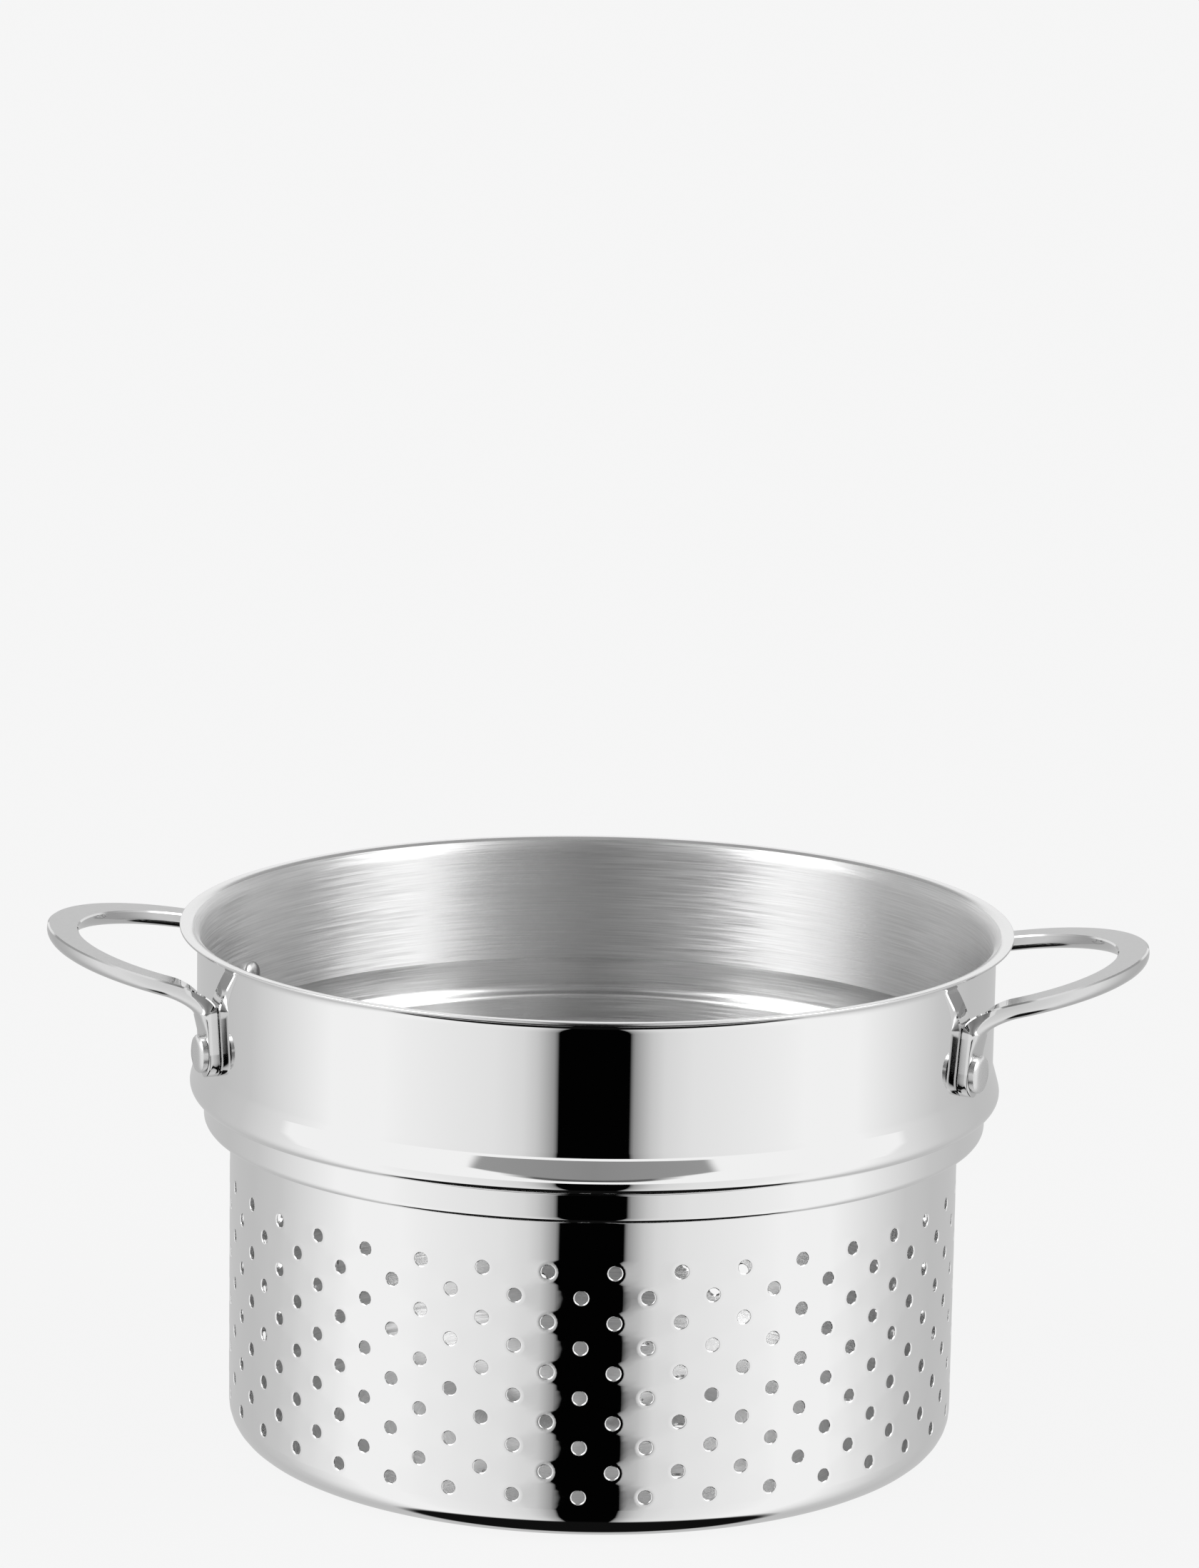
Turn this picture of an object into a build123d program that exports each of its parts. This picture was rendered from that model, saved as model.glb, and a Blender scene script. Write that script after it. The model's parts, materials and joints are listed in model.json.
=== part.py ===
"""Strainer insert of a 24 cm pasta pot, in stainless steel, as seven separate pieces.

The basket is one drawn and punched sheet: a perforated base and lower wall, a step that drops into
the mouth of the pot below, a bead whose flat underside rests on that pot's rim, a plain upper wall
and a flared lip. Two loop handles of bar are each held by two solid rivets.

Frame: millimetres, Z up, origin at the centre of the base's underside. X runs from handle to
handle, and -Y is the front. Radii of the basket are outside radii unless a name says otherwise.
"""
import os
from math import acos, asin, atan2, cos, degrees, pi, radians, sin, sqrt, tan

from build123d import *

# Sheet and lower wall. The wall has one narrow flat for each column of holes, left by the punching
sheet_thickness = 0.8
lower_wall_radius = 109.7
shoulder_height = 97.0
base_corner_radius = 10.0
base_corner_facets = 3

# Perforation of the lower wall: each second column stands half a pitch lower
hole_radius = 2.0
hole_sides = 6
wall_columns = 72
column_hole_count = 5
top_row_drop = 16.3
bottom_row_height = 13.875
first_column_angle = 0.8

# Perforation of the base: rings of evenly spaced holes
base_ring_count = 3
base_ring_pitch = 28.0
first_ring_hole_count = 6

# Step, bead, upper wall and lip, from the shoulder upwards
step_width = 7.9
step_height = 9.4
step_corner_radius = 2.4
bead_overhang = 5.2
bead_height = 11.2
bead_nose_radius = 3.6
bead_projection = 3.05
upper_wall_height = 40.1
lip_width = 5.25
lip_bend_radius = 3.6
corner_facets = 1
bend_facets = 2

# Handle bar: a loop whose flat top lies in a plane that rises outwards
grip_reach = 40.3
grip_drop = 10.12
grip_tilt = 10.6
loop_centre_inset = 10.0
loop_half_width = 48.0
tip_bar_width = 9.2
leg_bar_width = 7.7
bar_depth = 5.3
bar_side_height = 1.2
bar_underside_facets = 6
loop_end_angle = 78.0
loop_stations = 8
bend_stations = 6
bend_start_share = 0.42
bend_end_share = 0.26

# Handle feet: flat plates that lean outwards along the wall
foot_lean = 10.6
foot_width = 10.4
foot_thickness = 3.8
foot_toe_length = 7.05
foot_rise_share = 0.63
seat_clearance = 0.05

# Rivets
rivet_rise = 9.15
rivet_sides = 16
rivet_shank_radius = 3.0
rivet_hole_clearance = 0.05
rivet_head_radius = 5.65
rivet_rim_height = 1.5
rivet_bevel_inset = 0.55
rivet_bevel_height = 0.55
rivet_crown_inset = 1.4
rivet_crown_height = 0.45
rivet_dome_radius = 4.8
rivet_dome_height = 1.7
rivet_dome_top_share = 0.6

# Cutting tools reach this far past the surfaces that they cut
overrun = 1.0

half_turn = 180.0
quarter_turn = 90.0

hole_pitch = (shoulder_height - top_row_drop - bottom_row_height) / (column_hole_count - 1 / 2)
step_radius = lower_wall_radius + step_width
bead_radius = step_radius + bead_overhang
upper_wall_radius = bead_radius - bead_projection
upper_inner_radius = upper_wall_radius - sheet_thickness
rim_radius = upper_wall_radius + lip_width
ledge_height = shoulder_height + step_height
bead_top_height = ledge_height + bead_height
rim_height = bead_top_height + upper_wall_height
rivet_height = bead_top_height + rivet_rise
foot_face_radius = upper_wall_radius + seat_clearance
leg_angle = degrees(asin(loop_half_width / foot_face_radius))
grip_tip_reach = rim_radius + grip_reach
loop_centre_reach = rim_radius - loop_centre_inset


def polygon_prism(radius, sides, length):
    """A prism on the XY plane, with a flat side that faces X."""
    with BuildPart() as prism:
        with BuildSketch(Plane.XY):
            RegularPolygon(radius, sides, rotation=half_turn / sides)
        extrude(amount=length)
    return prism.part


def hole_drill(length):
    """A many-sided drill along Z, centred on the origin, that opens the area of a round hole."""
    corner_angle = 2 * pi / hole_sides
    radius = hole_radius * sqrt(corner_angle / sin(corner_angle))
    return Pos(0, 0, -length / 2) * polygon_prism(radius, hole_sides, length)


def wall_form(radius, corner_radius, floor_height, top_height):
    """The lower wall's solid form: many-sided, with a rounded corner at its floor."""
    rings = []
    for facet in range(base_corner_facets + 1):
        angle = radians(quarter_turn * facet / base_corner_facets)
        reach = radius - corner_radius * (1 - sin(angle))
        rings.append((reach, floor_height + corner_radius * (1 - cos(angle))))
    rings.append((radius, top_height))
    faces = []
    turn = first_column_angle + half_turn / wall_columns
    for reach, height in rings:
        with BuildSketch(Plane.XY.offset(height)) as outline:
            RegularPolygon(reach, wall_columns, rotation=turn)
        faces.append(outline.sketch.face())
    return loft(faces, ruled=True)


def wall_drills():
    """Drills for the lower wall, square to the flat of each column."""
    drill = hole_drill(sheet_thickness + 2 * overrun)
    middle = lower_wall_radius * cos(radians(half_turn / wall_columns)) - sheet_thickness / 2
    drills = []
    for column in range(wall_columns):
        angle = first_column_angle + column * 2 * half_turn / wall_columns
        lowered = (column + 1) % 2 / 2
        for place in range(column_hole_count):
            height = shoulder_height - top_row_drop - (place + lowered) * hole_pitch
            spot = Pos(0, 0, height) * Rot(0, 0, angle) * Pos(middle, 0, 0)
            drills.append(spot * Rot(0, quarter_turn, 0) * drill)
    return drills


def base_drills():
    """Drills for the base, in rings round its centre."""
    drill = Pos(0, 0, sheet_thickness / 2) * hole_drill(sheet_thickness + 2 * overrun)
    drills = []
    for ring in range(1, base_ring_count + 1):
        count = first_ring_hole_count * ring
        for place in range(count):
            angle = place * 2 * half_turn / count
            drills.append(Rot(0, 0, angle) * Pos(ring * base_ring_pitch, 0, 0) * drill)
    return drills


def bent_line(corners, bends):
    """The points of a line whose corners are rounded by short facets. Each bend is (radius, facets)."""
    points = [corners[0]]
    for before, corner, after, (radius, facets) in zip(corners, corners[1:], corners[2:], bends):
        if not facets:
            points.append(corner)
            continue
        back = (before - corner).normalized()
        ahead = (after - corner).normalized()
        half = acos(back.dot(ahead)) / 2
        centre = corner + (back + ahead).normalized() * (radius / sin(half))
        start = corner + back * (radius / tan(half)) - centre
        side = 1 if back.cross(ahead).Z < 0 else -1
        for facet in range(facets + 1):
            angle = atan2(start.Y, start.X) + side * (pi - 2 * half) * facet / facets
            points.append(centre + Vector(cos(angle), sin(angle)) * radius)
    return points + [corners[-1]]


def upper_shell():
    """The spun part of the sheet, from the shoulder to the lip, given the sheet's thickness."""
    lip_underside = rim_height - sheet_thickness
    corners = [
        Vector(lower_wall_radius - base_corner_radius, shoulder_height),
        Vector(step_radius, shoulder_height),
        Vector(step_radius, ledge_height),
        Vector(bead_radius, ledge_height),
        Vector(upper_wall_radius, bead_top_height),
        Vector(upper_wall_radius, lip_underside),
        Vector(rim_radius, lip_underside),
    ]
    sharp = (0, 0)
    bends = [
        (step_corner_radius, corner_facets),
        sharp,
        (bead_nose_radius, bend_facets),
        sharp,
        (lip_bend_radius, bend_facets),
    ]
    with BuildPart() as shell:
        with BuildSketch(Plane.XZ):
            with BuildLine():
                outside = Polyline(*bent_line(corners, bends))
                offset(outside, amount=sheet_thickness, side=Side.LEFT, kind=Kind.INTERSECTION)
            make_face()
        revolve(axis=Axis.Z)
    return shell.part


def rivet_places():
    """The name of each rivet and its angle from the X axis."""
    return [
        ("right_front", -leg_angle),
        ("right_rear", leg_angle),
        ("left_front", half_turn + leg_angle),
        ("left_rear", half_turn - leg_angle),
    ]


def rivet_bores(near, far):
    """Drills along the four rivet axes, from one distance from the basket's axis to another."""
    drills = []
    for _, angle in rivet_places():
        spot = Pos(0, 0, rivet_height) * Rot(0, 0, angle) * Pos((near + far) / 2, 0, 0)
        radius = rivet_shank_radius + rivet_hole_clearance
        drills.append(spot * Rot(0, quarter_turn, 0) * Cylinder(radius, far - near))
    return drills


def make_basket():
    """The whole sheet: the lower wall's form and the upper shell, hollowed and then punched."""
    shoulder_top = shoulder_height + sheet_thickness
    outside = wall_form(lower_wall_radius, base_corner_radius, 0, shoulder_top)
    inside = wall_form(
        lower_wall_radius - sheet_thickness,
        base_corner_radius - sheet_thickness,
        sheet_thickness,
        shoulder_top + overrun,
    )
    rivet_holes = rivet_bores(upper_inner_radius - overrun, upper_wall_radius + overrun)
    return (outside + upper_shell() - inside) - (wall_drills() + base_drills() + rivet_holes)


def grip_height(reach):
    """The height of the grip's top plane at a distance along X."""
    return rim_height - grip_drop + (reach - rim_radius) * tan(radians(grip_tilt))


def loop_edge(length, half_width, angle):
    """A point and the direction of travel on one edge of the bar's top face, round the loop."""
    reach = loop_centre_reach + length * cos(angle)
    point = Vector(reach, half_width * sin(angle), grip_height(reach))
    inwards = -length * sin(angle)
    travel = Vector(inwards, half_width * cos(angle), inwards * tan(radians(grip_tilt)))
    return point, travel.normalized()


def foot_plane():
    """The foot's flat inner face at the rivet: X across the foot, Y up along it, Z away from the wall."""
    leg = radians(leg_angle)
    lean = radians(foot_lean)
    outward = Vector(cos(leg), sin(leg), 0)
    across = Vector(-sin(leg) * cos(lean), cos(leg) * cos(lean), sin(lean))
    return Plane(outward * foot_face_radius + Vector(0, 0, rivet_height), x_dir=across, z_dir=outward)


def foot_rise():
    """How far the foot's flat part reaches above the rivet, along the foot."""
    room = grip_height(foot_face_radius * cos(radians(leg_angle))) - rivet_height
    return room * foot_rise_share / cos(radians(foot_lean))


def bend_edge(start, travel, side, share):
    """A point and direction on one edge of the top face in the bend, from the loop down to the foot."""
    plane = foot_plane()
    end = plane.from_local_coords(Vector(side * foot_width / 2, foot_rise(), 0))
    span = (end - start).length
    first = start + travel * (span * bend_start_share)
    second = end + plane.y_dir * (span * bend_end_share)
    rest = 1 - share
    point = start * rest**3 + first * (3 * rest**2 * share) + second * (3 * rest * share**2) + end * share**3
    way = (first - start) * rest**2 + (second - first) * (2 * rest * share) + (end - second) * share**2
    return point, way.normalized()


def bar_stations():
    """Both edges of the top face from the tip to one foot, with the bar's side height at each place."""
    length = grip_tip_reach - loop_centre_reach
    edges = [(length, loop_half_width, 1), (length - tip_bar_width, loop_half_width - leg_bar_width, -1)]
    end_angle = radians(loop_end_angle)
    stations = []
    for place in range(loop_stations):
        angle = end_angle * place / (loop_stations - 1)
        outer, inner = [loop_edge(long, half, angle) for long, half, _ in edges]
        stations.append((outer, inner, bar_side_height))
    for place in range(1, bend_stations + 1):
        share = place / bend_stations
        starts = [loop_edge(long, half, end_angle) for long, half, _ in edges]
        outer, inner = [bend_edge(*start, edge[2], share) for start, edge in zip(starts, edges)]
        side_height = bar_side_height + (foot_thickness - bar_side_height) * share
        stations.append((outer, inner, side_height))
    return stations


def bar_section(outer, inner, side_height, mirrored):
    """The bar's D section: a flat top between its two edges, short upright sides and a rounded underside."""
    flip = -1 if mirrored else 1
    places = [Vector(v.X, v.Y * flip, v.Z) for v in (outer[0], inner[0])]
    travel = outer[1] + inner[1]
    travel = Vector(travel.X * flip, travel.Y, travel.Z * flip)
    across = places[0] - places[1]
    half = across.length / 2
    down = travel.cross(across)
    plane = Plane((places[0] + places[1]) / 2, x_dir=across, z_dir=across.cross(down))
    corners = [(half, 0)]
    for facet in range(bar_underside_facets + 1):
        angle = pi * facet / bar_underside_facets
        corners.append((half * cos(angle), side_height + (bar_depth - side_height) * sin(angle)))
    corners.append((-half, 0))
    with BuildSketch(plane) as section:
        with BuildLine():
            Polyline(*corners, close=True)
        make_face()
    return section.sketch.face()


def make_foot():
    """One foot: a flat plate with a round end, outwards from its inner face."""
    half = foot_width / 2
    toe = half - foot_toe_length
    with BuildPart() as foot:
        with BuildSketch(foot_plane()):
            with BuildLine():
                Polyline((-half, toe), (-half, foot_rise()), (half, foot_rise()), (half, toe))
                ThreePointArc((half, toe), (0, -foot_toe_length), (-half, toe))
            make_face()
        extrude(amount=foot_thickness)
    return foot.part


def make_handle():
    """The right handle: a bar lofted from foot to foot, with its two feet and their rivet holes."""
    stations = bar_stations()
    sections = [bar_section(*station, mirrored=True) for station in reversed(stations[1:])]
    sections += [bar_section(*station, mirrored=False) for station in stations]
    foot = make_foot()
    handle = loft(sections, ruled=True) + foot + mirror(foot, Plane.XZ)
    face = foot_face_radius
    return handle - rivet_bores(face - overrun, face + foot_thickness + overrun)


def many_sided_cone(start, end):
    """A many-sided cone or prism on the Z axis between two outlines, each a (corner radius, height)."""
    height = end[1] - start[1]
    shrink = (start[0] - end[0]) * cos(pi / rivet_sides)
    with BuildPart() as cone:
        with BuildSketch(Plane.XY.offset(start[1])):
            RegularPolygon(start[0], rivet_sides)
        extrude(amount=height, taper=degrees(atan2(shrink, height)))
    return cone.part


def make_rivet():
    """A rivet on the Z axis: its head stands on the foot at Z = 0, and its dome is inside the basket."""
    dome_seat = sqrt(upper_inner_radius**2 - rivet_dome_radius**2) - seat_clearance
    shank_end = dome_seat - foot_face_radius - foot_thickness
    bevel_radius = rivet_head_radius - rivet_bevel_inset
    crown_radius = bevel_radius - rivet_crown_inset
    bevel_end = rivet_rim_height + rivet_bevel_height
    head_end = bevel_end + rivet_crown_height
    shank = many_sided_cone((rivet_shank_radius, shank_end), (rivet_shank_radius, 0))
    rim = many_sided_cone((rivet_head_radius, 0), (rivet_head_radius, rivet_rim_height))
    bevel = many_sided_cone((rivet_head_radius, rivet_rim_height), (bevel_radius, bevel_end))
    crown = many_sided_cone((bevel_radius, bevel_end), (crown_radius, head_end))
    dome_top = (rivet_dome_radius * rivet_dome_top_share, rivet_dome_height)
    dome = many_sided_cone((rivet_dome_radius, 0), dome_top)
    return shank + rim + bevel + crown + Pos(0, 0, shank_end) * Rot(half_turn, 0, 0) * dome


def main():
    """Builds every piece in place and writes one file for each."""
    handle = make_handle()
    pieces = {
        "strainer_basket": make_basket(),
        "handle_right": handle,
        "handle_left": Rot(0, 0, half_turn) * handle,
    }
    rivet = make_rivet()
    for name, angle in rivet_places():
        seat = Pos(0, 0, rivet_height) * Rot(0, 0, angle) * Pos(foot_face_radius + foot_thickness, 0, 0)
        pieces[f"rivet_{name}"] = seat * Rot(0, quarter_turn, 0) * rivet
    os.makedirs("parts", exist_ok=True)
    for name, piece in pieces.items():
        export_step(piece, f"parts/{name}.step")


main()
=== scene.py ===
"""Strainer insert of a pasta pot: its dressed pieces, its finishes and a plain studio, for Blender 4.5."""
import json
import math

import bmesh
import bpy
from bpy.props import FloatProperty, IntProperty, PointerProperty, StringProperty
from mathutils import Matrix, Vector

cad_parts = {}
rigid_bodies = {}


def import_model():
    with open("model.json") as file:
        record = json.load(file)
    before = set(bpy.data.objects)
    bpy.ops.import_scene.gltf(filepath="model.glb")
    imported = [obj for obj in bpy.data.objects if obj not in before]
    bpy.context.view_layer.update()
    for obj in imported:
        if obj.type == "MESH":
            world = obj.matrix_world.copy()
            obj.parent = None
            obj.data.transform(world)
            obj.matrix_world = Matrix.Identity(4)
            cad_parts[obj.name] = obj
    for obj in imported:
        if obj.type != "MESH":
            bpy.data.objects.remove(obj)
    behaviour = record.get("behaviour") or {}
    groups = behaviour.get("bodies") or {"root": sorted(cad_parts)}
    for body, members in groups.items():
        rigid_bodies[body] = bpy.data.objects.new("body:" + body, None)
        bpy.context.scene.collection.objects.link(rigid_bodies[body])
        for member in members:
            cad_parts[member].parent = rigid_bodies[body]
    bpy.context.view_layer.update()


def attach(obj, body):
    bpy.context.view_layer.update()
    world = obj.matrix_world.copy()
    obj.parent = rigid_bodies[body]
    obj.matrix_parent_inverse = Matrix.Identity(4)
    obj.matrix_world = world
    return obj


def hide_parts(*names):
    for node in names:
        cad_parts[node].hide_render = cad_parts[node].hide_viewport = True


bl_info = {
    "name": "Strainer insert",
    "version": (1, 0, 0),
    "blender": (4, 5, 0),
    "location": "View3D > Sidebar > Strainer",
    "description": "Builds a perforated strainer insert with two riveted loop handles in a plain studio",
    "category": "Object",
}

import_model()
MM = 0.001


def length(name, description, millimetres):
    """A length that a user can change, stored in metres."""
    return FloatProperty(
        name=name, description=description, default=millimetres * MM, unit="LENGTH", precision=5
    )


def angle(name, description, degrees):
    """An angle that a user can change."""
    return FloatProperty(name=name, description=description, default=math.radians(degrees), subtype="ANGLE")


def shade(name, description, hex_colour):
    """A colour that a user can change, as an sRGB hex value."""
    return StringProperty(name=name, description=description, default=hex_colour)


class BasketSizes(bpy.types.PropertyGroup):
    """Sizes of the drawn and punched sheet."""

    sheet: length("Sheet", "Thickness of the sheet", 0.8)
    lower_radius: length("Lower wall", "Outside radius of the perforated wall", 109.7)
    base_corner: length("Base corner", "Radius between the base and the wall", 10.0)
    shoulder: length("Shoulder height", "Height where the step begins", 97.0)
    step_radius: length("Step", "Outside radius of the step", 117.6)
    ledge: length("Ledge height", "Height of the bead's flat underside", 106.4)
    bead_radius: length("Bead", "Outside radius of the bead", 122.8)
    bead_top: length("Bead top", "Height where the upper wall begins", 117.6)
    bead_swell: length("Bead swell", "How far the bead's slope stands proud at its middle", 0.045)
    upper_radius: length("Upper wall", "Outside radius of the upper wall", 119.75)
    rim_radius: length("Rim", "Outside radius of the lip", 124.98)
    rim_height: length("Rim height", "Height of the lip's top", 157.7)
    hole_radius: length("Hole", "Radius of each hole", 2.0)
    hole_roll: length("Hole roll", "Width of the edge that the punch rolled in", 0.32)
    hole_swell: length("Hole swell", "How far the sheet stands proud round a hole", 0.06)
    top_row: length("Top row", "Height of the highest holes", 80.7)
    bottom_row: length("Bottom row", "Height of the lowest holes", 13.875)
    columns: IntProperty(name="Columns", description="Columns of holes round the wall", default=72)
    first_column: angle("First column", "Turn of the columns round the axis", 0.8)
    base_pitch: length("Base pitch", "Distance between the rings of holes in the base", 28.0)


class HandleSizes(bpy.types.PropertyGroup):
    """Sizes of the loop handles."""

    reach: length("Reach", "How far the grip stands out from the rim", 40.24)
    drop: length("Drop", "How far the grip's plane lies below the rim there", 10.12)
    tilt: angle("Tilt", "How the grip rises outwards", 10.6)
    centre_inset: length("Loop centre", "How far the loop's centre lies inside the rim", 10.0)
    half_width: length("Half width", "Half the width of the loop", 48.0)
    tip_width: length("Tip width", "Width of the bar at the grip's tip", 9.2)
    leg_width: length("Leg width", "Width of the bar at the legs", 7.7)
    depth: length("Bar depth", "Depth of the bar", 5.3)
    side: length("Bar side", "Height of the bar's upright sides", 1.2)
    chamfer: length("Chamfer", "Width of the chamfer along the flat top", 0.45)
    foot_lean: angle("Foot lean", "How the feet lean outwards along the wall", 10.6)
    foot_width: length("Foot width", "Width of each foot", 10.4)
    foot_thickness: length("Foot thickness", "Thickness of each foot", 3.8)
    foot_toe: length("Foot toe", "How far a foot reaches below its rivet", 7.05)
    seat: length("Seat", "Clearance between a foot and the wall", 0.05)


class RivetSizes(bpy.types.PropertyGroup):
    """Sizes of the rivets."""

    height: length("Height", "Height of the rivets", 126.75)
    head: length("Head", "Radius of the head", 5.65)
    rim: length("Head rim", "Height of the head's upright edge", 1.5)
    bevel: length("Head bevel", "Width and height of the head's bevel", 0.55)
    crown: length("Crown", "Height of the head's crown above the bevel", 0.45)
    dome: length("Dome", "Radius of the dome inside the basket", 4.8)
    dome_height: length("Dome height", "Height of the dome inside the basket", 1.7)
    shank: length("Shank", "Radius of the shank", 3.0)


class StudioSettings(bpy.types.PropertyGroup):
    """The stage, its light and the camera."""

    floor: shade("Floor", "Colour of the floor", "#F5F5F5")
    floor_radius: length("Floor radius", "Radius of the floor", 9000.0)
    lens: FloatProperty(name="Lens", description="Focal length in millimetres", default=131.9, unit="CAMERA")
    target: length("Target height", "Height that the camera looks at", 200.216)
    distance: length("Distance", "From the target to the camera", 1715.8)
    elevation: angle("Elevation", "How far the camera stands above the target", 11.6)
    azimuth: angle("Azimuth", "How far the camera stands round from the front", 2.2)
    roll: angle("Roll", "Turn of the camera about its own axis", 0.973)
    light: FloatProperty(name="Light", description="Strength of the surroundings", default=1.17)
    lamps: FloatProperty(name="Lamps", description="How many times brighter the soft lights are", default=4.0)


# The radius of the base's flat middle, and where the lip's own finish begins: below its top, and outwards
BASE_FLAT = 94 * MM
LIP_DEPTH = 1.1 * MM
LIP_START = 121.4 * MM

# The basket's material slots
OUTSIDE, INSIDE, PUNCHED_EDGE, RINGS, LIP = range(5)

# The bends of the top's outline, from the shoulder to the lip, as a radius in millimetres and a number
# of steps. Neighbouring bends need room between them, or the sheet folds back on itself
TOP_BENDS = [(1.6, 4), (2.4, 6), (0.8, 3), (3.2, 9), (150.0, 6), (9.0, 6), (3.6, 9)]

# Grey levels round the studio, by degrees away from the camera, in bands from the horizon upwards: the
# narrow dark gap at the camera, the seam above it, what the bead's slope shows, what the inside shows,
# and overhead. The last band places the two large soft lights at the sides
LOW_BAND = [
    (0, 2), (10.2, 2), (10.7, 140), (13, 172), (16, 200), (20, 218), (28, 229), (41, 235), (54, 241),
    (62, 246), (80, 246), (95, 228), (108, 211), (116, 200), (135, 190), (180, 188),
]
SEAM_BAND = [(0, 70), (16, 90), (26, 246), (180, 246)]
LENS_BAND = [(0, 138), (36, 152), (50, 246), (180, 246)]
HIGH_BAND = [(0, 85), (10, 100), (20, 140), (30, 165), (38, 200), (48, 160), (62, 246), (180, 246)]
OVERHEAD_BAND = [(0, 130), (30, 160), (48, 246), (92, 246), (120, 175), (180, 165)]
LAMP_BAND = [(0, 0), (44, 0), (54, 255), (82, 255), (96, 0)]


def linear(hex_colour):
    """An sRGB hex value as linear red, green, blue and alpha."""
    parts = [int(hex_colour[place : place + 2], 16) / 255 for place in (1, 3, 5)]
    return [c / 12.92 if c <= 0.04045 else ((c + 0.055) / 1.055) ** 2.4 for c in parts] + [1.0]


def add_node(tree, kind, inputs=None, **settings):
    """Adds a node. An input that is a socket is linked, and any other is set as a value."""
    node = tree.nodes.new(kind)
    for name, value in settings.items():
        setattr(node, name, value)
    for name, value in (inputs or {}).items():
        if isinstance(value, bpy.types.NodeSocket):
            tree.links.new(value, node.inputs[name])
        else:
            node.inputs[name].default_value = value
    return node


def add_stops(ramp, stops):
    """Gives a ramp its stops, each a position and a grey level from 0 to 255."""
    elements = ramp.color_ramp.elements
    while len(elements) > 1:
        elements.remove(elements[-1])
    elements[0].position = stops[0][0]
    for position, _ in stops[1:]:
        elements.new(position)
    for element, (_, level) in zip(elements, stops):
        element.color = linear("#" + f"{round(level):02X}" * 3)


def new_material(name):
    """An empty material with its output node."""
    material = bpy.data.materials.new(name)
    material.use_nodes = True
    tree = material.node_tree
    tree.nodes.clear()
    return material, tree, tree.nodes.new("ShaderNodeOutputMaterial")


def mirror_polished_steel():
    """Chrome-nickel stainless sheet, buffed to a mirror outside: sharp reflections, hardly any lines."""
    material, tree, output = new_material("mirror_polished_stainless")
    place = add_node(tree, "ShaderNodeTexCoord").outputs["Object"]
    # Buffing leaves broad waves a few centimetres wide, which bend the reflections a little
    waves = add_node(tree, "ShaderNodeTexNoise", {"Vector": place, "Scale": 28.0, "Detail": 1.0})
    bump = add_node(
        tree, "ShaderNodeBump", {"Strength": 0.05, "Distance": 0.0004, "Height": waves.outputs["Fac"]}
    )
    haze = add_node(tree, "ShaderNodeTexNoise", {"Vector": place, "Scale": 60.0, "Detail": 4.0})
    roughness = add_node(
        tree, "ShaderNodeMapRange", {"Value": haze.outputs["Fac"], "To Min": 0.012, "To Max": 0.022}
    )
    shader = add_node(
        tree,
        "ShaderNodeBsdfPrincipled",
        {
            "Base Color": linear("#E8E8E8"),
            "Metallic": 1.0,
            "Roughness": roughness.outputs["Result"],
            "Normal": bump.outputs["Normal"],
        },
    )
    tree.links.new(shader.outputs["BSDF"], output.inputs["Surface"])
    return material


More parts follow.
